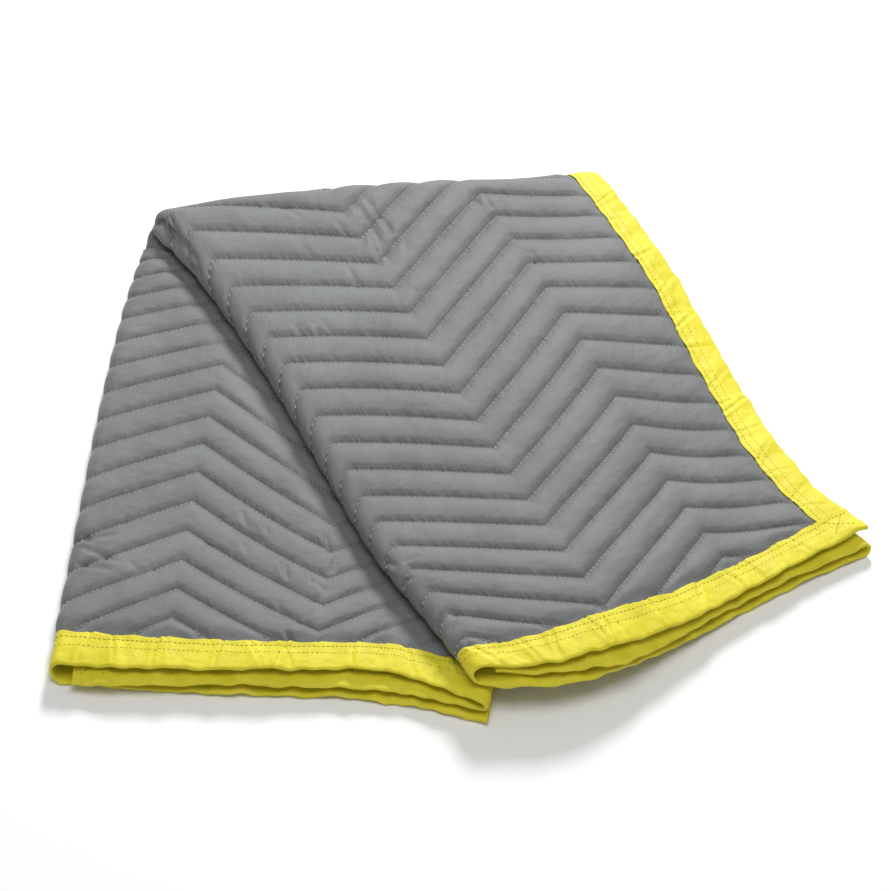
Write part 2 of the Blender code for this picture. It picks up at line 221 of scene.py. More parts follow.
def swell(x, y):
    """How much higher the loosely stacked layers stand here, as a share of their height."""
    loose = 0.05 * np.sin(9.0 * x + 4.0 * y + 0.6) + 0.04 * np.sin(-6.0 * x + 11.0 * y)
    lower = y - PIVOT_Y - (x - PIVOT_X) * math.tan(LOWER_TURN) + LOWER_HEM
    right, back = x - PIVOT_X - UPPER_HEM_X, y - PIVOT_Y + UPPER_HEM_Y
    upper = right * math.sin(UPPER_TURN) - back * math.cos(UPPER_TURN)
    at_lower = LOWER_HEM_SWELL * np.exp(-((lower / HEM_SWELL_REACH) ** 2)) * smooth((0.05 - x) / 0.32)
    at_upper = UPPER_HEM_SWELL * np.exp(-((upper / HEM_SWELL_REACH) ** 2)) * smooth((x + 0.05) / 0.32)
    return loose + at_lower + at_upper


def stray(across, run, upper):
    """How far a layer lies off its even place, along the back fold and in front of it."""
    a, f = (across - HALF_STRIP) / HALF_STRIP, (np.maximum(run, 0) - HALF_RUN) / HALF_RUN
    shares = DRIFT[:, 2:4, None] * upper.ravel() + DRIFT[:, 4:6, None] * (1 - upper.ravel())
    terms = a.ravel() ** DRIFT[:, :1] * f.ravel() ** DRIFT[:, 1:2]
    return (shares * terms[:, None]).sum(axis=0).reshape(2, *across.shape)


def place(s, t, h):
    """Where a point of the flat pad lies when the pad is folded."""
    s, t, h = np.broadcast_arrays(np.asarray(s, float), np.asarray(t, float), np.asarray(h, float))
    across, lift = thirds(s, h)
    past = across * math.sin(TURN) + (t - FOLD_AT) * math.cos(TURN)
    along = across * math.cos(TURN) - (t - FOLD_AT) * math.sin(TURN)
    bend = HALF_TURN * (INNER_RADIUS + np.clip(thirds(s, 0.0)[1], 0, 2 * LAYER_STEP))
    even = HALF_TURN * (INNER_RADIUS + LAYER_STEP)
    upper_run = (FOLD_AT - across * math.tan(TURN)) * math.cos(TURN)
    lower_run = PAD_LENGTH * math.cos(TURN) - upper_run
    upper_creep = np.interp(s, CREEP[:, 0], CREEP[:, 1])
    lower_creep = np.interp(s, CREEP[:, 0], CREEP[:, 2])
    upper_run = (-past - bend) * (upper_run + upper_creep - even) / (upper_run - bend)
    lower_run = (past - bend) * (lower_run + lower_creep - even) / (lower_run - bend)
    run = np.where(past < 0, upper_run, lower_run)
    angle = np.clip(-past / bend, -1, 1) * HALF_TURN
    radius = INNER_RADIUS + lift
    front = np.maximum(run, 0) - radius * np.cos(angle)
    right = smooth((across - RIGHT_PART) / (STRIP_WIDTH - RIGHT_PART))
    upper_bow = np.interp(front, BOW[:, 0], BOW[:, 1])
    lower_bow = np.interp(front, BOW[:, 0], BOW[:, 2])
    along = along - right * np.where(past < 0, upper_bow, lower_bow)
    tip = smooth((TIP_WIDTH - across) / TIP_WIDTH) * smooth((front - TIP_START) / TIP_LENGTH)
    along = along + np.where(past < 0, TIP_SHIFT * tip, 0)
    front = front + RIGHT_FOLD_PULL * right * np.exp(-((front / RIGHT_FOLD_REACH) ** 2))
    more_along, more_front = stray(across, run, (1 + np.sin(angle)) / 2)
    along, front = along + more_along, front + more_front
    x = PIVOT_X + along * math.cos(FOLD_TURN) + front * math.sin(FOLD_TURN)
    y = PIVOT_Y + along * math.sin(FOLD_TURN) - front * math.cos(FOLD_TURN)
    z = AXIS_HEIGHT + radius * np.sin(angle)
    beyond = (x - PIVOT_X) * math.cos(LOWER_TURN) + (y - PIVOT_Y) * math.sin(LOWER_TURN) - STRIP_WIDTH
    settle = (2 * INNER_RADIUS - LAYER_STEP) * smooth(front / SETTLE_REACH)
    drop = 3 * LAYER_STEP * ease((beyond + DROP_EARLY) / DROP_REACH)
    z = z - np.where(past < 0, settle + drop, 0)
    return np.stack([x - CENTRE_X, y - CENTRE_Y, z * (1 + swell(x, y))], axis=-1)


corner = place(0.0, 0.0, 0.0)
print("the free corner of the upper half lies at", np.round(corner, 3))

# %% [markdown]
# ## Cloth that lies open, and cloth that is pressed
#
# Padding stands up where nothing lies on it, and lies flat under a weight. So the pillows need to
# know where on the folded pad they are: on top of the upper half, on the open part of the lower
# one, or under the upper one's edge. The fold map answers that from the flat place.

# %% Where each part of the cloth lies
LOWER_SHARE = 0.75


def past_fold(s, t):
    """How far past the back fold a point lies: below nothing is the upper half."""
    across = thirds(np.asarray(s, float), 0.0)[0]
    return across * math.sin(TURN) + (t - FOLD_AT) * math.cos(TURN)


def beside_upper(s, t):
    """How far a point lies to the right of the upper half's left fold, seen from above."""
    x, y, _ = np.moveaxis(place(s, t, 0.0), -1, 0)
    right, back = x + CENTRE_X - PIVOT_X, y + CENTRE_Y - PIVOT_Y
    return right * math.cos(UPPER_TURN) + back * math.sin(UPPER_TURN)


def lower_top(s, t):
    """1 on the top layer of the lower half, and 0 elsewhere."""
    past_back = smooth((past_fold(s, t) - 0.03) / 0.05)
    past_left = smooth((s - LEFT_END + 0.01) / 0.03)
    return past_back * past_left * (s < RIGHT_START)


def open_share(s, t):
    """How open the outer cloth lies: 1 on the upper half, less beside it, and 0 under a layer."""
    upper = smooth((-past_fold(s, t) - 0.01) / 0.05) * smooth((LEFT_START + 0.01 - s) / 0.03)
    return upper + LOWER_SHARE * lower_top(s, t) * smooth((-beside_upper(s, t) - 0.010) / 0.035)


def pressed_share(s, t):
    """1 where the weight of the upper half presses the lower one flat."""
    return lower_top(s, t) * smooth((beside_upper(s, t) + 0.040) / 0.030)


print("the middle of the pad is open to", round(float(open_share(0.3, 0.5)), 2), "of 1")

# %% [markdown]
# ## Pillows
#
# Between two lines of stitches the padding swells into a pillow, and the stitches pull the two
# cloths together into a narrow valley. A sine raised to a low power has that shape: round on
# top and sharp at the bottom. The pillow stops under the tape, where the cloth is pressed flat.

# %% The height of the cloth over the middle of the padding
PILLOW_HALF = 0.0054
OPEN_RISE = 0.0026
HEM_HALF = 0.0005
PRESS_START, PRESS_LENGTH = 0.043, 0.012
STITCH_PITCH = 0.0062
ROUNDNESS, NIP, NIP_REACH = 0.66, 0.10, 0.09
PILLOW_START = 0.020
LUMP = 0.10


def pillow(s, t, rise=0.0):
    """Half the thickness of the quilting. Each stitch nips the edge of its valley."""
    row = quilt_row(s, t)
    nip = 0.5 + 0.5 * np.cos(2 * math.pi * s / STITCH_PITCH)
    near = np.exp(-((np.abs(row - np.round(row)) / NIP_REACH) ** 2))
    full = np.abs(np.sin(math.pi * row)) ** (ROUNDNESS + NIP * nip * near)
    edge = edge_distance(s, t)
    inside = smooth((edge - TAPE_WIDTH) / PILLOW_START)
    lumps = 1 + LUMP * np.sin(71 * s + 9 * t) * np.sin(38 * t - 17 * s + 1.0)
    pressed = HEM_HALF + (STITCH_HALF - HEM_HALF) * smooth((edge - PRESS_START) / PRESS_LENGTH)
    return pressed + (PILLOW_HALF + rise - STITCH_HALF) * full * inside * lumps


print("pillows stand", PILLOW_HALF * 2000, "mm thick between", STITCH_HALF * 2000, "mm seams")

# %% [markdown]
# ## Creases
#
# A crease is a trough with a low ridge on one side, and it fades out at both ends. Each was
# picked as a line in the picture, with a width and a depth. A separate program then laid
# those lines on the flat pad, and it gave the places, directions and lengths below. Noise would
# crease the cloth with less work, but never in the right places.

# %% Creases picked from the picture
CREASE_GAIN, CREASE_NARROW = 1.7, 0.8
RIDGE_SHARE, RIDGE_AWAY = 0.4, 1.6

CREASES = (  # across, along, direction in degrees, length, width, depth
    (0.379, 0.830, -81, 0.046, 0.004, 0.0016), (0.374, 0.826, -90, 0.030, 0.003, 0.0012),
    (0.358, 0.810, -96, 0.050, 0.004, 0.0026), (0.375, 0.791, -93, 0.053, 0.004, 0.0020),
    (0.353, 0.794, -84, 0.025, 0.003, 0.0016), (0.354, 0.771, -90, 0.028, 0.004, 0.0026),
    (0.378, 0.745, -85, 0.063, 0.004, 0.0024), (0.387, 0.751, -78, 0.059, 0.004, 0.0020),
    (0.374, 0.739, -75, 0.039, 0.003, 0.0016), (0.349, 0.731, -84, 0.023, 0.003, 0.0016),
    (0.464, 0.854, -113, 0.038, 0.004, 0.0012), (0.440, 0.712, -84, 0.045, 0.004, 0.0018),
    (0.415, 0.800, -95, 0.030, 0.004, 0.0010), (0.476, 0.786, -98, 0.035, 0.004, 0.0009),
    (0.375, 0.641, -85, 0.028, 0.004, 0.0012), (0.553, 0.670, -84, 0.025, 0.004, 0.0014),
    (0.528, 0.660, -79, 0.025, 0.004, 0.0014), (0.515, 0.655, -94, 0.033, 0.004, 0.0010),
    (0.213, 0.776, -94, 0.040, 0.004, 0.0016), (0.198, 0.763, -83, 0.043, 0.004, 0.0016),
    (0.185, 0.751, -79, 0.038, 0.003, 0.0012), (0.199, 0.645, -85, 0.028, 0.003, 0.0014),
    (0.190, 0.636, -81, 0.030, 0.003, 0.0014), (0.854, 1.563, 68, 0.040, 0.004, 0.0018),
    (0.885, 1.574, 70, 0.037, 0.004, 0.0018), (0.921, 1.651, 74, 0.044, 0.004, 0.0026),
    (0.955, 1.663, 69, 0.035, 0.004, 0.0020), (0.974, 1.684, 59, 0.029, 0.004, 0.0018),
    (0.971, 1.594, 73, 0.042, 0.004, 0.0028), (0.985, 1.635, 100, 0.043, 0.004, 0.0028),
    (0.914, 1.737, 54, 0.034, 0.004, 0.0014), (0.940, 1.777, 61, 0.031, 0.004, 0.0018),
    (0.959, 1.740, -60, 0.035, 0.004, 0.0016), (0.969, 1.702, -49, 0.027, 0.004, 0.0014),
    (0.921, 1.722, 67, 0.033, 0.003, 0.0010), (0.653, 1.634, -18, 0.066, 0.006, 0.0026),
    (0.668, 1.661, 15, 0.067, 0.005, 0.0018), (0.661, 1.682, 5, 0.053, 0.005, 0.0018),
    (0.716, 1.673, 41, 0.027, 0.004, 0.0014), (0.647, 1.639, 39, 0.036, 0.005, 0.0016),
    (0.860, 1.613, 65, 0.036, 0.004, 0.0012), (0.689, 1.597, 61, 0.026, 0.004, 0.0010),
    (0.745, 1.673, 45, 0.025, 0.004, 0.0010), (0.817, 1.625, 55, 0.040, 0.004, 0.0010),
    (0.801, 1.787, -29, 0.026, 0.004, 0.0008), (0.611, 0.208, -156, 0.025, 0.004, 0.0018),
    (0.597, 0.102, -57, 0.060, 0.005, 0.0020), (0.609, 0.113, -52, 0.029, 0.004, 0.0016),
    (0.610, 0.252, -104, 0.041, 0.004, 0.0014), (0.586, 0.234, 180, 0.030, 0.004, 0.0010),
    (0.603, 0.042, -60, 0.035, 0.004, 0.0014), (0.620, 0.154, 112, 0.027, 0.004, 0.0014),
    (0.717, 1.180, 94, 0.035, 0.003, 0.0008), (0.619, 0.761, 96, 0.023, 0.003, 0.0010),
    (0.618, 0.727, 106, 0.018, 0.003, 0.0010), (0.621, 0.685, 108, 0.024, 0.003, 0.0010),
    (0.621, 0.431, 105, 0.029, 0.003, 0.0014), (0.616, 0.939, -92, 0.128, 0.006, 0.0050),
    (0.619, 0.952, -89, 0.125, 0.005, 0.0040), (0.616, 0.935, -97, 0.083, 0.004, 0.0030),
    (0.616, 0.936, -37, 0.025, 0.004, 0.0030), (0.607, 0.912, -79, 0.041, 0.004, 0.0030),
    (0.611, 0.924, -70, 0.037, 0.003, 0.0020), (0.640, 1.034, 24, 0.049, 0.004, 0.0035),
    (0.610, 0.873, -90, 0.048, 0.004, 0.0020), (0.617, 0.863, -99, 0.048, 0.004, 0.0016),
    (0.680, 1.110, 34, 0.054, 0.005, 0.0012))


def creases(s, t):
    """How deep the creases are here. Their ridges count as less than nothing."""
    depth = np.zeros(np.broadcast(s, t).shape)
    for across, along, turn, length, width, deep in CREASES:
        turn = math.radians(turn)
        u = (s - across) * math.cos(turn) + (t - along) * math.sin(turn)
        v = (t - along) * math.cos(turn) - (s - across) * math.sin(turn)
        fade = smooth((0.6 * length - np.abs(u)) / (0.4 * length))
        trough = np.exp(-((v / (CREASE_NARROW * width)) ** 2))
        ridge = np.exp(-(((v - RIDGE_AWAY * width) / width) ** 2))
        depth = depth + CREASE_GAIN * deep * fade * (trough - RIDGE_SHARE * ridge)
    return depth


print(len(CREASES), "creases")

# %% [markdown]
# ## A hem that waves
#
# Sewing draws a bound edge up, so a hem is never straight. A few sines of different lengths give
# it a wave that doesn't seem to repeat, and it fades out away from the edge. The outer side hangs
# free over the layers below, so it droops a little as well.

# %% The wave of the hems
WAVE_REACH = 0.06
DROOP, DROOP_START, DROOP_LENGTH = 0.0040, 0.024, 0.026


def hem_wave(s, t):
    """How far the hems lie above or below their even height."""
    near_end = np.minimum(t, PAD_LENGTH - t)
    near_side = np.minimum(s, PAD_WIDTH - s)
    end_wave = 0.0011 * np.sin(97 * s + 0.7) + 0.0009 * np.sin(41 * s + 2.0) + 0.0005 * np.sin(171 * s)
    side_wave = 0.0011 * np.sin(89 * t + 1.9) + 0.0009 * np.sin(37 * t) + 0.0005 * np.sin(163 * t)
    droop = DROOP * smooth((DROOP_START - s) / DROOP_LENGTH)
    end_wave = end_wave * smooth(1 - near_end / WAVE_REACH)
    return end_wave + side_wave * smooth(1 - near_side / WAVE_REACH) - droop


print("the outer side droops", DROOP * 1000, "mm")

# %% [markdown]
# ## From a flat piece to a folded one
#
# Every piece below is modelled flat: across is X, along is Y, and the height over the middle of
# the padding is Z. This one helper keeps the flat place as a UV map, in metres, so that weave
# and wear follow the cloth round its folds, and then moves each point with the fold map. It
# also keeps the bottom layer on the floor.

# %% Folding a flat mesh
FLOOR_CLEAR = 0.0002


def fold_piece(flat, name, to_flat):
    """Makes an object of a flat bmesh, and folds it. to_flat turns its points into across,
    along and height."""
    mesh = bpy.data.meshes.new(name)
    flat.to_mesh(mesh)
    flat.free()
    points = np.empty(len(mesh.vertices) * 3)
    mesh.vertices.foreach_get("co", points)
    s, t, h = to_flat(*points.reshape(-1, 3).T)
    folded = place(s, t, h)
    folded[:, 2] = np.maximum(folded[:, 2], FLOOR_CLEAR)
    mesh.vertices.foreach_set("co", folded.ravel())
    corners = np.empty(len(mesh.loops), int)
    mesh.loops.foreach_get("vertex_index", corners)
    flat_map = mesh.uv_layers.new(name="flat")
    flat_map.data.foreach_set("uv", np.stack([s, t], axis=-1)[corners].ravel())
    row = mesh.attributes.new("quilt_row", "FLOAT", "POINT")
    row.data.foreach_set("value", quilt_row(s, t))
    mesh.shade_smooth()
    piece = bpy.data.objects.new(name, mesh)
    bpy.context.scene.collection.objects.link(piece)
    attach(piece, "root")
    mesh.calc_loop_triangles()
    print(name, len(mesh.loop_triangles), "triangles")
    return piece


# %% [markdown]
# ## The quilted panel
#
# The panel starts as a plain grid. Its columns are set close on the two thirds that show and
# wide on the third that is tucked inside, with one on every corner of the zigzag so that the
# corners stay crisp. Its rows follow the quilting, six to a pitch, and crowd round the
# stitches where the cloth bends most. Two cuts trim it to the pad's length, and solidify gives
# it a second face.

# %% Cut the panel
ROW_PHASES = (0.0, 0.09, 0.26, 0.50, 0.74, 0.91)
SHOWN_STEP, MIDDLE_STEP, TUCKED_STEP = 0.0140, 0.0150, 0.0300
LEFT_BEND_STEP, RIGHT_BEND_STEP = 0.0060, 0.0050


def spread(stops, step):
    """Places between each two stops, about a step apart, with the stops themselves."""
    places = [np.linspace(a, b, max(1, round((b - a) / step)), endpoint=False)
              for a, b in zip(stops[:-1], stops[1:])]
    return np.append(np.concatenate(places), stops[-1])


def panel_columns():
    corners = [s for s in ZIGZAG[:, 0] if s < PAD_WIDTH - 0.02]
    shown = sorted({*[s for s in corners if s < LEFT_START - 0.01], LEFT_START})
    middle = sorted({LEFT_END, *[s for s in corners if LEFT_END < s < RIGHT_START], RIGHT_START})
    tucked = sorted({RIGHT_END, *[s for s in corners if s > RIGHT_END + 0.02], PAD_WIDTH})
    return np.unique(np.concatenate([
        spread(shown, SHOWN_STEP), spread([LEFT_START, LEFT_END], LEFT_BEND_STEP),
        spread(middle, MIDDLE_STEP), spread([RIGHT_START, RIGHT_END], RIGHT_BEND_STEP),
        spread(tucked, TUCKED_STEP)]).round(6))


def panel_rows():
    first = -math.ceil((FIRST_LINE + ZIGZAG_DEPTH) / LINE_PITCH)
    last = math.ceil((PAD_LENGTH - FIRST_LINE) / LINE_PITCH)
    phased = [n + phase for n in range(first, last) for phase in ROW_PHASES]
    return FIRST_LINE + LINE_PITCH * np.array(phased)


def everything(flat):
    return [*flat.verts, *flat.edges, *flat.faces]


def cut_panel():
    columns, rows = panel_columns(), panel_rows()
    flat = bmesh.new()
    bmesh.ops.create_grid(flat, x_segments=len(columns) - 1, y_segments=len(rows) - 1, size=0.5)
    for vert in flat.verts:
        s = columns[round((vert.co.x + 0.5) * (len(columns) - 1))]
        t = rows[round((vert.co.y + 0.5) * (len(rows) - 1))]
        vert.co = (s, t + zigzag(s), 0)
    for end, outwards in ((0.0, -1), (PAD_LENGTH, 1)):
        bmesh.ops.bisect_plane(
            flat, geom=everything(flat), dist=1e-5, plane_co=(0, end, 0),
            plane_no=(0, outwards, 0), clear_outer=True)
    print(len(columns), "columns,", len(rows), "rows,", len(flat.faces), "faces flat")
    return flat


panel_flat = cut_panel()

# %% [markdown]
# The second face goes on while the panel is flat, so that the rim stays square. The faces that
# show are then divided once more, and those round a crease once again. All the others lie
# against each other inside the stack, where the coarser grid is as good, and the triangles are
# worth more in sight. The faces are set only a little apart here, and panel_to_flat then gives
# each point its true height.

# %% Give the panel its two faces, and a finer grid where it shows
FACES_APART = 0.002
CREASE_SHOWS = 0.0004
PRESSED_FLAT = 0.8


def in_sight(centre):
    past = float(past_fold(centre.x, centre.y))
    at_fold = abs(past) < 0.06
    upper = past < 0 and centre.x < LEFT_END
    lower = past > 0 and LEFT_START - 0.01 < centre.x < RIGHT_END
    return centre.z > 0 and (at_fold or upper or lower)


bmesh.ops.solidify(panel_flat, geom=panel_flat.faces[:], thickness=FACES_APART)
bmesh.ops.recalc_face_normals(panel_flat, faces=panel_flat.faces[:])
middle_height = sum(v.co.z for v in panel_flat.verts) / len(panel_flat.verts)
bmesh.ops.translate(panel_flat, verts=panel_flat.verts[:], vec=(0, 0, -middle_height))
shown_edges = {edge for face in panel_flat.faces
               if face.normal.z > 0.5 and in_sight(face.calc_center_median()) for edge in face.edges}
bmesh.ops.subdivide_edges(panel_flat, edges=list(shown_edges), cuts=1, use_grid_fill=True)

top_faces = [face for face in panel_flat.faces if face.normal.z > 0.5]
top_centres = np.array([face.calc_center_median() for face in top_faces])
creased = np.abs(creases(top_centres[:, 0], top_centres[:, 1])) > CREASE_SHOWS
creased_edges = {edge for face, cut in zip(top_faces, creased) if cut for edge in face.edges}
bmesh.ops.subdivide_edges(panel_flat, edges=list(creased_edges), cuts=1, use_grid_fill=True)
print(len(shown_edges), "edges divided in sight,", len(creased_edges), "round the creases")


def panel_to_flat(x, y, z):
    outer = pillow(x, y, OPEN_RISE * open_share(x, y))
    outer = outer - PRESSED_FLAT * np.maximum(outer - STITCH_HALF, 0) * pressed_share(x, y)
    outer = outer - creases(x, y) * smooth((edge_distance(x, y) - 0.02) / 0.03)
    return x, y, np.where(z > 0, outer, -pillow(x, y)) + hem_wave(x, y)


panel = fold_piece(panel_flat, "quilted_cloth_panel", panel_to_flat)
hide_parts("quilted_panel")

# %% [markdown]
# ## The binding tape
#
# The tape is a strip folded over the raw edge, so in section it is a narrow U. It could be cut
# as one bent strip for each edge. The grid here is as long as the edge and as wide as the strip,
# and its width is wrapped round the edge: up one leg, round the edge, and back along the other.

# %% The section of the tape
TAPE_THICKNESS = 0.0009
TAPE_REACH = 0.0022
TAPE_STEP = 0.0026
LEG = (TAPE_WIDTH, 0.0435, 0.040, 0.036, 0.030, 0.023, 0.016, 0.009, 0.0035)


def tape_section(point):
    """Height and inset of the middle of the tape, from its outer face to its inner one."""
    leg = np.array(LEG)
    turns = np.radians(np.array((60, 20, -20, -60)))
    inset = np.concatenate([leg, 0.0012 - TAPE_REACH * np.cos(turns), leg[::-1]])
    height = np.concatenate([np.full(len(leg), 1.0), np.sin(turns), np.full(len(leg), -1.0)])
    return inset[point], height[point] * TAPE_REACH


print(2 * len(LEG) + 4, "points round the tape")

# %% [markdown]
# Two rows of stitches hold the tape, and it crumples between them. The small folds across it
# were set one by one. Finer ripples are sines, because no one follows those. The inner
# edge is scalloped where the quilting draws it in, and the outer one wanders.

# %% Folds, ripples and scallops of the tape
TAPE_ROWS = (0.0375, 0.0255)
SEAM_SINK, SEAM_REACH = 0.0006, 0.0028
BULGE, RIPPLE = 0.0004, 0.00035

TAPE_FOLDS = {  # along the edge, how far it leans, width, depth
    "lower_end": (
        (0.668, 0.3, 0.003, 0.0016), (0.709, -0.2, 0.003, 0.0010), (0.764, 0.1, 0.003, 0.0014),
        (0.784, -0.3, 0.002, 0.0010), (0.826, 0.4, 0.004, 0.0008), (0.850, 0.2, 0.003, 0.0014),
        (0.901, -0.5, 0.003, 0.0008), (0.934, 0.2, 0.003, 0.0022), (0.943, -0.4, 0.003, 0.0016),
        (0.979, 0.1, 0.002, 0.0012), (1.034, -0.1, 0.004, 0.0010), (1.076, 0.3, 0.003, 0.0012),
        (1.131, -0.6, 0.004, 0.0014), (1.178, 0.7, 0.004, 0.0016), (1.204, -0.4, 0.004, 0.0016)),
    "upper_end": (
        (0.588, 0.5, 0.004, 0.0020), (0.574, -0.5, 0.003, 0.0014), (0.531, 0.2, 0.003, 0.0010),
        (0.494, -0.3, 0.004, 0.0010), (0.424, 0.3, 0.003, 0.0022), (0.412, -0.2, 0.003, 0.0020),
        (0.397, 0.2, 0.003, 0.0016), (0.366, -0.2, 0.003, 0.0012), (0.331, 0.3, 0.003, 0.0016),
        (0.293, 0.1, 0.003, 0.0010), (0.262, -0.4, 0.004, 0.0014), (0.204, 0.3, 0.003, 0.0012),
        (0.191, -0.1, 0.003, 0.0016), (0.172, 0.2, 0.003, 0.0012), (0.128, -0.3, 0.003, 0.0014),
        (0.092, 0.3, 0.003, 0.0012), (0.058, -0.2, 0.002, 0.0012)),
    "outer_side": (
        (0.071, 0.5, 0.003, 0.0014), (0.108, -0.4, 0.003, 0.0012), (0.152, 0.3, 0.003, 0.0010),
        (0.196, -0.5, 0.003, 0.0014), (0.238, 0.2, 0.003, 0.0012), (0.284, -0.1, 0.003, 0.0026),
        (0.292, 0.3, 0.003, 0.0018), (0.336, -0.3, 0.004, 0.0010), (0.392, 0.4, 0.003, 0.0012),
        (0.441, -0.2, 0.003, 0.0022), (0.452, 0.3, 0.003, 0.0014), (0.506, -0.4, 0.004, 0.0010),
        (0.566, 0.1, 0.003, 0.0020), (0.577, -0.5, 0.003, 0.0012), (0.642, 0.3, 0.004, 0.0010),
        (0.694, -0.2, 0.003, 0.0014), (0.748, 0.4, 0.003, 0.0010)),
    "inner_side": ()}


def tape_crumple(edge, u, inset):
    """How the tape's faces crumple between its stitches and its edges."""
    seams = sum(np.exp(-(((inset - row) / SEAM_REACH) ** 2)) for row in TAPE_ROWS)
    bulge = smooth(inset / 0.010)
    ripple = np.sin(210 * u + 40 * inset) * np.sin(57 * u + 0.5)
    ripple = ripple + 0.6 * np.sin(133 * u - 60 * inset + 1.0)
    height = BULGE * bulge + RIPPLE * bulge * ripple - SEAM_SINK * np.minimum(seams, 1)
    for along, lean, width, depth in TAPE_FOLDS[edge]:
        off = u - along - lean * (inset - TAPE_WIDTH / 2)
        trough = np.exp(-((off / width) ** 2))
        ridges = np.exp(-(((np.abs(off) - 1.7 * width) / width) ** 2))
        height = height + depth * (0.8 * ridges - trough) * smooth(inset / 0.006)
    return height


def edge_scallop(u, inset):
    """The quilting rows draw the tape's inner edge in a little, and its outer edge wanders."""
    inner = 0.0011 * np.sin(2 * math.pi * u / LINE_PITCH) * smooth((inset - 0.030) / 0.012)
    outer = 0.0010 * np.sin(83 * u + 1.0) * np.sin(29 * u) + 0.0006 * np.sin(197 * u) - 0.0016
    return inner + outer * smooth((0.012 - inset) / 0.012)


print({edge: len(folds) for edge, folds in TAPE_FOLDS.items()}, "folds")

# %% [markdown]
# The end tapes run the full width and lie over the ends of the side tapes, so they stand higher
# in a square at each corner. The crumple may only sink so far, or the cloth would show through.

# %% Wrap the tape round the four edges
DEEPEST_SINK = 0.0006
LAP_REACH, LAP_SLOPE, LAP_HEIGHT = 0.052, 0.008, 0.0011
SIDE_START = 0.041
END_OVER = 0.002
FREE_CORNER_OVER = 0.005


def on_tape(edge, u, inset, height):
    """Across, along and height of a point of a tape, or of the thread on it."""
    height = height + np.sign(height) * np.maximum(tape_crumple(edge, u, inset), -DEEPEST_SINK)
    if edge in ("upper_end", "lower_end"):
        lap = smooth((LAP_REACH - np.minimum(u, PAD_WIDTH - u)) / LAP_SLOPE)
        height = height + np.sign(height) * LAP_HEIGHT * lap
        s, t = u, np.where(edge == "upper_end", inset, PAD_LENGTH - inset)
    else:
        s, t = np.where(edge == "outer_side", inset, PAD_WIDTH - inset), u
    return s, t, height + hem_wave(s, t)


def make_tape(name, node, edge, start, end):
    """One binding. edge says which side of the pad it wraps, and start and end how much of it."""
    stations, points = round((end - start) / TAPE_STEP), 2 * len(LEG) + 4
    flat = bmesh.new()
    bmesh.ops.create_grid(flat, x_segments=stations, y_segments=points - 1, size=0.5)
    for vert in flat.verts:
        along_edge = start + (vert.co.x + 0.5) * (end - start)
        inset, height = tape_section(round((vert.co.y + 0.5) * (points - 1)))
        vert.co = (along_edge, inset, height)
    bmesh.ops.recalc_face_normals(flat, faces=flat.faces[:])
    bmesh.ops.solidify(flat, geom=flat.faces[:], thickness=TAPE_THICKNESS)
    bmesh.ops.recalc_face_normals(flat, faces=flat.faces[:])

    def to_flat(u, inset, height):
        return on_tape(edge, u, inset + edge_scallop(u, inset), height)

    tape = fold_piece(flat, name, to_flat)
    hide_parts(node)
    return tape


END_STOP, SIDE_STOP = PAD_WIDTH + END_OVER, PAD_LENGTH - SIDE_START
tapes = [
    make_tape("upper_end_tape", "upper_end_binding", "upper_end", -FREE_CORNER_OVER, END_STOP),
    make_tape("lower_end_tape", "lower_end_binding", "lower_end", -END_OVER, END_STOP),
    make_tape("outer_side_tape", "outer_side_binding", "outer_side", SIDE_START, SIDE_STOP),
    make_tape("inner_side_tape", "inner_side_binding", "inner_side", SIDE_START, SIDE_STOP)]

# %% [markdown]
# ## The thread
#
# A seam shows as a row of short stitches, each one dipping into the cloth at both ends. One
# stitch is a stretched ball with very few faces, because there are thousands. Spin with no
# angle and only a shift makes a straight row of them, and a second spin repeats the row. The
# straight field is then bent onto the zigzag with the same sizes as the cloth.

# %% Sew the quilting
STITCH_LENGTH = 0.0042
THREAD = 0.00075
THREAD_SHIFT = 0.0014
THREAD_LIFT = 0.0009


def turn_flat(flat, angle, axis):
    bmesh.ops.rotate(
        flat, verts=flat.verts[:], cent=(0, 0, 0), matrix=Matrix.Rotation(angle, 3, axis))


def one_stitch(length, thick):
    flat = bmesh.new()
    bmesh.ops.create_uvsphere(flat, u_segments=4, v_segments=2, radius=1.0)
    turn_flat(flat, math.pi / 2, "Y")
    bmesh.ops.scale(flat, verts=flat.verts[:], vec=(length / 2, thick, thick))
    return flat


def repeat(flat, shift, times):
    """Copies everything along one shift, by spinning it through no angle."""
    bmesh.ops.spin(
        flat, geom=everything(flat), cent=(0, 0, 0), axis=(0, 0, 1),
        dvec=shift, angle=0.0, steps=times - 1, use_duplicate=True)


def sew_quilting():
    flat = one_stitch(STITCH_LENGTH, THREAD)
    repeat(flat, (STITCH_PITCH, 0, 0), int(PAD_WIDTH / STITCH_PITCH))
    lines = int((PAD_LENGTH - FIRST_LINE + ZIGZAG_DEPTH) / LINE_PITCH) + 1
    repeat(flat, (0, LINE_PITCH, 0), lines + 3)
    bmesh.ops.translate(flat, verts=flat.verts[:], vec=(STITCH_PITCH / 2, -3 * LINE_PITCH, 0))
    unsewn = []
    for vert in flat.verts:
        s = (math.floor(vert.co.x / STITCH_PITCH) + 0.5) * STITCH_PITCH
        t = FIRST_LINE + round(vert.co.y / LINE_PITCH) * LINE_PITCH + float(zigzag(s))
        if edge_distance(s, t) < TAPE_WIDTH + 0.002:
            unsewn.append(vert)
    bmesh.ops.delete(flat, geom=unsewn, context="VERTS")
    return flat


def quilting_to_flat(x, y, z):
    s, t = x, FIRST_LINE + y + zigzag(x)
    t = t + THREAD_SHIFT * np.sign(past_fold(s, t))
    return s, t, z + STITCH_HALF + THREAD_LIFT + hem_wave(s, t) - creases(s, t)


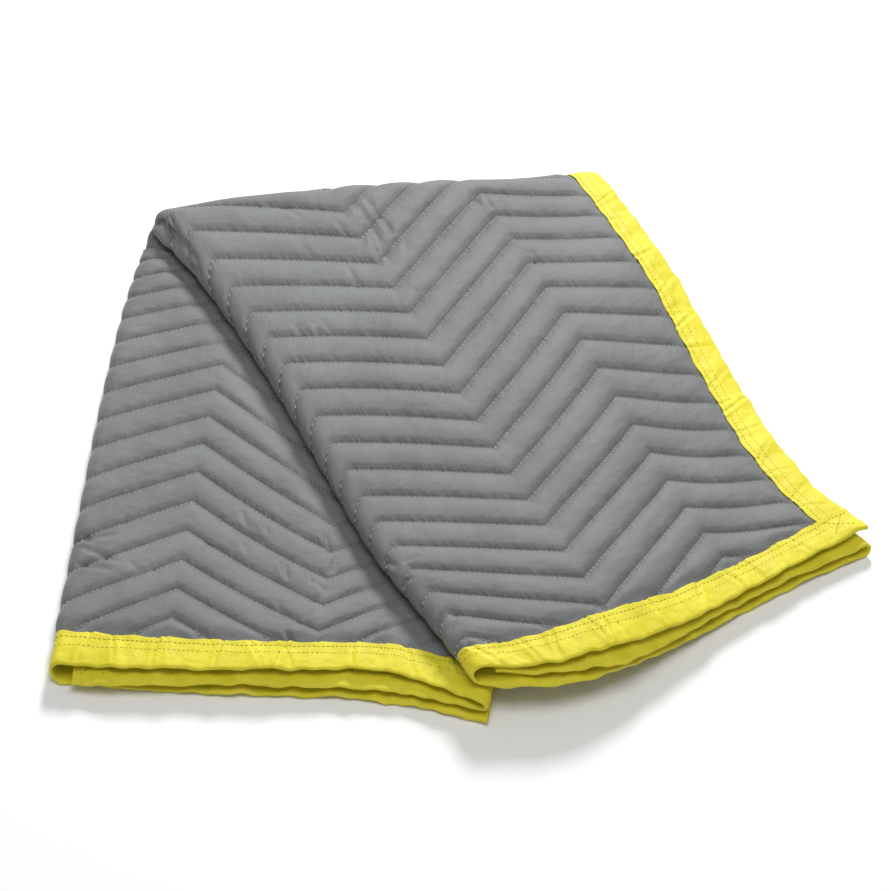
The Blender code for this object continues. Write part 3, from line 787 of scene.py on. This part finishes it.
quilting = fold_piece(sew_quilting(), "quilting_thread", quilting_to_flat)

# %% [markdown]
# The tape is held by two rows of longer stitches, one near its inner edge and one near its
# middle, sewn right through, so they show on both faces. One row is made, a spin repeats it, and
# a mirror gives the other face.

# %% Sew the tape
TAPE_STITCH_PITCH = 0.0064
TAPE_STITCH_LENGTH = 0.0054
TAPE_THREAD = 0.00040
TAPE_THREAD_HEIGHT = TAPE_REACH + 0.0004


def mirror_flat(flat, axis):
    bmesh.ops.mirror(flat, geom=everything(flat), axis=axis, merge_dist=0)


def shift_flat(flat, x, y, z):
    bmesh.ops.translate(flat, verts=flat.verts[:], vec=(x, y, z))


def lay_thread(flat, name, edge):
    """Turns the faces of the stitches outwards, and folds them with their tape."""
    bmesh.ops.recalc_face_normals(flat, faces=flat.faces[:])
    return fold_piece(flat, name, lambda u, inset, height: on_tape(edge, u, inset, height))


def sew_tape(name, edge, start, end):
    flat = one_stitch(TAPE_STITCH_LENGTH, TAPE_THREAD)
    repeat(flat, (TAPE_STITCH_PITCH, 0, 0), int((end - start) / TAPE_STITCH_PITCH))
    shift_flat(flat, start + TAPE_STITCH_PITCH / 2, TAPE_ROWS[0], 0)
    repeat(flat, (0, TAPE_ROWS[1] - TAPE_ROWS[0], 0), 2)
    shift_flat(flat, 0, 0, TAPE_THREAD_HEIGHT)
    mirror_flat(flat, "Z")
    return lay_thread(flat, name, edge)


tape_threads = [
    sew_tape("upper_end_thread", "upper_end", 0.0, PAD_WIDTH),
    sew_tape("lower_end_thread", "lower_end", 0.0, PAD_WIDTH),
    sew_tape("outer_side_thread", "outer_side", TAPE_WIDTH, PAD_LENGTH - TAPE_WIDTH),
    sew_tape("inner_side_thread", "inner_side", TAPE_WIDTH, PAD_LENGTH - TAPE_WIDTH)]

# %% [markdown]
# Where an end tape laps a side tape, a cross of stitches holds the corner. One slanting row is
# made and mirrored into a cross. The cross is set off from the middle of the pad and mirrored
# to the other corner, and once more to the other face.

# %% Sew the corners
CROSS_STITCHES = 7
CROSS_ANGLE = math.radians(41)
CROSS_PLACE = 0.024


def sew_crosses(name, edge):
    flat = one_stitch(TAPE_STITCH_LENGTH, TAPE_THREAD)
    repeat(flat, (TAPE_STITCH_PITCH, 0, 0), CROSS_STITCHES)
    shift_flat(flat, -(CROSS_STITCHES // 2) * TAPE_STITCH_PITCH, 0, 0)
    turn_flat(flat, CROSS_ANGLE, "Z")
    mirror_flat(flat, "Y")
    shift_flat(flat, CROSS_PLACE - PAD_WIDTH / 2, CROSS_PLACE, TAPE_THREAD_HEIGHT)
    mirror_flat(flat, "X")
    mirror_flat(flat, "Z")
    shift_flat(flat, PAD_WIDTH / 2, 0, 0)
    return lay_thread(flat, name, edge)


tape_threads.append(sew_crosses("upper_corner_crosses", "upper_end"))
tape_threads.append(sew_crosses("lower_corner_crosses", "lower_end"))

# %% [markdown]
# ## A small kit for shader maths
#
# A material is a net of nodes. Written out node by node it is hard to read, so one class wraps
# a socket and lets Python's own signs add the Math nodes: `1 - mask * 0.3` becomes two of them.
# Every other node comes from one method that takes its type, its settings and its sockets.

# %% Wires and finishes
class Wire:
    """The output of a node, which can be used in sums."""

    def __init__(self, finish, socket):
        self.finish, self.socket = finish, socket

    def maths(self, operation, first, second=0.0):
        return self.finish.node("ShaderNodeMath", {"operation": operation}, {0: first, 1: second})

    def __add__(self, other):
        return self.maths("ADD", self, other)

    def __radd__(self, other):
        return self.maths("ADD", other, self)

    def __sub__(self, other):
        return self.maths("SUBTRACT", self, other)

    def __rsub__(self, other):
        return self.maths("SUBTRACT", other, self)

    def __mul__(self, other):
        return self.maths("MULTIPLY", self, other)

    def sine(self):
        return self.maths("SINE", self)

    def size(self):
        return self.maths("ABSOLUTE", self)

    def fraction(self):
        return self.maths("FRACT", self)

    def between(self, low, high):
        """Rises smoothly from 0 at low to 1 at high."""
        return self.finish.node(
            "ShaderNodeMapRange", {"interpolation_type": "SMOOTHSTEP"},
            {"Value": self, "From Min": low, "From Max": high})


class Finish:
    """One material, and the nodes that make it."""

    def __init__(self, name):
        self.material = bpy.data.materials.new(name)
        self.material.use_nodes = True
        self.tree = self.material.node_tree
        self.tree.nodes.clear()

    def node(self, kind, settings=None, sockets=None, out=0):
        made = self.tree.nodes.new(kind)
        for setting, value in (settings or {}).items():
            setattr(made, setting, value)
        for socket, value in (sockets or {}).items():
            if isinstance(value, Wire):
                self.tree.links.new(value.socket, made.inputs[socket])
            else:
                made.inputs[socket].default_value = value
        return Wire(self, made.outputs[out])

    def flat_place(self):
        """Across and along, in metres, from the map that every piece carries."""
        flat = self.node("ShaderNodeUVMap", {"uv_map": "flat"})
        split = self.node("ShaderNodeSeparateXYZ", {}, {0: flat})
        return split, Wire(self, split.socket.node.outputs[1])

    def noise(self, s, t, scale, detail=2.0, roughness=0.5):
        at = self.node("ShaderNodeCombineXYZ", {}, {0: s, 1: t, 2: 0.0})
        return self.node(
            "ShaderNodeTexNoise", {"noise_dimensions": "2D"},
            {"Vector": at, "Scale": scale, "Detail": detail, "Roughness": roughness})

    def blend(self, mask, first, second):
        return self.node("ShaderNodeMix", {"data_type": "RGBA"}, {0: mask, 6: first, 7: second}, out=2)

    def bump(self, height, distance, strength, under=None):
        sockets = {"Height": height, "Distance": distance, "Strength": strength}
        if under is not None:
            sockets["Normal"] = under
        return self.node("ShaderNodeBump", {}, sockets)

    def surface(self, **sockets):
        names = {key.replace("_", " ").title().replace("Ior", "IOR"): value
                 for key, value in sockets.items()}
        shader = self.node("ShaderNodeBsdfPrincipled", {}, names)
        output = self.tree.nodes.new("ShaderNodeOutputMaterial")
        self.tree.links.new(shader.socket, output.inputs[0])
        return self.material


print("kit ready")

# %% [markdown]
# ## Grey woven cloth
#
# The cloth is a plain polyester weave with a soft sheen. Three things make it look sewn and not
# moulded: the weave itself, small puckers that the stitches draw across each valley, and fine
# wandering creases on the pillows. All three are bumps, because they are far too fine for the
# mesh. The colour only shifts a little, and painted shade darkens it along the valley of each seam.

# %% Cloth finish
def woven_cloth():
    cloth = Finish("grey_woven_cloth")
    s, t = cloth.flat_place()
    row = cloth.node("ShaderNodeAttribute", {"attribute_name": "quilt_row"}, out=2)
    valley = 1 - ((row + 0.5).fraction() - 0.5).size().between(0.0, 0.26)
    painted_seam_shade = 1 - ((row + 0.5).fraction() - 0.5).size().between(0.0, 0.10)
    clouds = cloth.noise(s, t, 9.0, 4.0)
    heather = cloth.noise(s, t * 6.0, 420.0, 2.0)
    colour = cloth.blend(clouds.between(0.3, 0.7), (0.143, 0.149, 0.150, 1), (0.176, 0.183, 0.184, 1))
    colour = cloth.blend(heather.between(0.2, 0.8) * 0.35, colour, (0.200, 0.207, 0.208, 1))
    # painted shade: the colour is darkened along the valley of each seam, where shade falls
    colour = cloth.blend(painted_seam_shade * 0.50, colour, (0.070, 0.073, 0.075, 1))
    weave = (s * 5600.0).sine() * (t * 5600.0).sine()
    puckers = cloth.noise(s * 105.0, row, 1.0, 2.0) * valley
    fine_creases = cloth.noise(s + t * 0.3, t * 1.2, 30.0, 4.0)
    normal = cloth.bump(fine_creases, 0.0045, 0.60)
    normal = cloth.bump(puckers, 0.0040, 0.70, normal)
    normal = cloth.bump(weave, 0.0001, 0.35, normal)
    return cloth.surface(
        base_color=colour, roughness=0.62 + clouds * 0.08, normal=normal,
        sheen_weight=0.12, sheen_roughness=0.45, sheen_tint=(0.75, 0.77, 0.78, 1),
        specular_ior_level=0.42)


grey_cloth = woven_cloth()
panel.data.materials.append(grey_cloth)

# %% [markdown]
# ## Yellow tape
#
# The binding is a tightly woven yellow ribbon. Its colour shifts between two close yellows, with
# a deeper one painted along some of the wrinkles as shade, and the weave is a fine bump. A picture
# of cloth could be laid on it, but nodes stay sharp at any size.

# %% Tape finish
def yellow_ribbon():
    ribbon = Finish("yellow_binding_ribbon")
    s, t = ribbon.flat_place()
    clouds = ribbon.noise(s, t, 26.0, 3.0)
    wrinkles = ribbon.noise(s, t, 50.0, 4.0)
    colour = ribbon.blend(clouds.between(0.3, 0.7), (0.70, 0.62, 0.012, 1), (0.78, 0.69, 0.028, 1))
    # painted shade: a deeper yellow laid along some of the wrinkles
    colour = ribbon.blend(wrinkles.between(0.62, 0.80) * 0.35, colour, (0.60, 0.50, 0.012, 1))
    weave = (s * 5200.0).sine() * (t * 5200.0).sine()
    normal = ribbon.bump(wrinkles, 0.0040, 0.6)
    normal = ribbon.bump(weave, 0.0001, 0.35, normal)
    return ribbon.surface(
        base_color=colour, roughness=0.56 + clouds * 0.10, normal=normal,
        sheen_weight=0.10, specular_ior_level=0.45)


yellow_tape = yellow_ribbon()
for tape in tapes:
    tape.data.materials.append(yellow_tape)

# %% [markdown]
# ## Thread
#
# Quilting thread is a pale grey, much lighter than the cloth, and the tape is sewn with a dark
# one. Both are twisted, so noise far finer than a stitch makes their tone flicker along the seam.
# The twist could be modelled, but it is too fine to see.

# %% Thread finishes
def twisted_thread(name, light, dark):
    thread = Finish(name)
    s, t = thread.flat_place()
    twist = thread.noise(s, t, 900.0, 1.0)
    colour = thread.blend(twist.between(0.35, 0.65), dark, light)
    return thread.surface(base_color=colour, roughness=0.55, specular_ior_level=0.4)


pale_thread = twisted_thread("pale_quilting_thread", (0.60, 0.61, 0.61, 1), (0.42, 0.43, 0.43, 1))
dark_thread = twisted_thread("dark_tape_thread", (0.16, 0.15, 0.03, 1), (0.09, 0.085, 0.02, 1))
quilting.data.materials.append(pale_thread)
for thread in tape_threads:
    thread.data.materials.append(dark_thread)

# %% [markdown]
# ## Floor
#
# The floor is a plain pale sheet, wide enough to fill every view. It takes the shadow that shows
# where the pad stands. A curved backdrop would hide the horizon in low views, and the view from
# the front doesn't need one.

# %% Floor
FLOOR_HALF = 14


def pale_floor():
    plain = Finish("pale_floor")
    return plain.surface(base_color=(0.92, 0.92, 0.92, 1), roughness=0.8)


floor_flat = bmesh.new()
bmesh.ops.create_grid(floor_flat, x_segments=1, y_segments=1, size=FLOOR_HALF)
floor_mesh = bpy.data.meshes.new("floor")
floor_flat.to_mesh(floor_mesh)
floor_flat.free()
floor_mesh.materials.append(pale_floor())
floor = bpy.data.objects.new("floor", floor_mesh)
bpy.context.scene.collection.objects.link(floor)
print("the floor is", 2 * FLOOR_HALF, "m wide")

# %% [markdown]
# ## Light
#
# The main light is a soft one behind the pad and above it, a little to the right, so that the
# near side of each pillow falls into shade and the upper half shades the lower one beside it. A
# wide light overhead lifts the hems in front, and the world fills the rest with even white. Light
# from the camera's side would be simpler, but it would wash the quilting flat.

# %% Lights
def soft_light(name, place_at, towards, size, power):
    data = bpy.data.lights.new(name, "AREA")
    data.shape, data.size, data.energy = "DISK", size, power
    light = bpy.data.objects.new(name, data)
    light.location = place_at
    light.rotation_euler = (Vector(towards) - Vector(place_at)).to_track_quat("-Z", "Y").to_euler()
    bpy.context.scene.collection.objects.link(light)
    return light


soft_light("back_light", (0.55, 3.5, 2.9), (0, 0, 0), 1.1, 206)
soft_light("top_fill", (0.0, -0.7, 3.4), (0, 0, 0), 2.0, 46)

world = bpy.data.worlds.new("white_room")
world.use_nodes = True
world.node_tree.nodes["Background"].inputs["Color"].default_value = (1.0, 1.0, 1.0, 1)
world.node_tree.nodes["Background"].inputs["Strength"].default_value = 0.30
bpy.context.scene.world = world
bpy.context.scene.view_settings.view_transform = "Standard"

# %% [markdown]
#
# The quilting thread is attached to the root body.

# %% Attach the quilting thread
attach(quilting, "root")
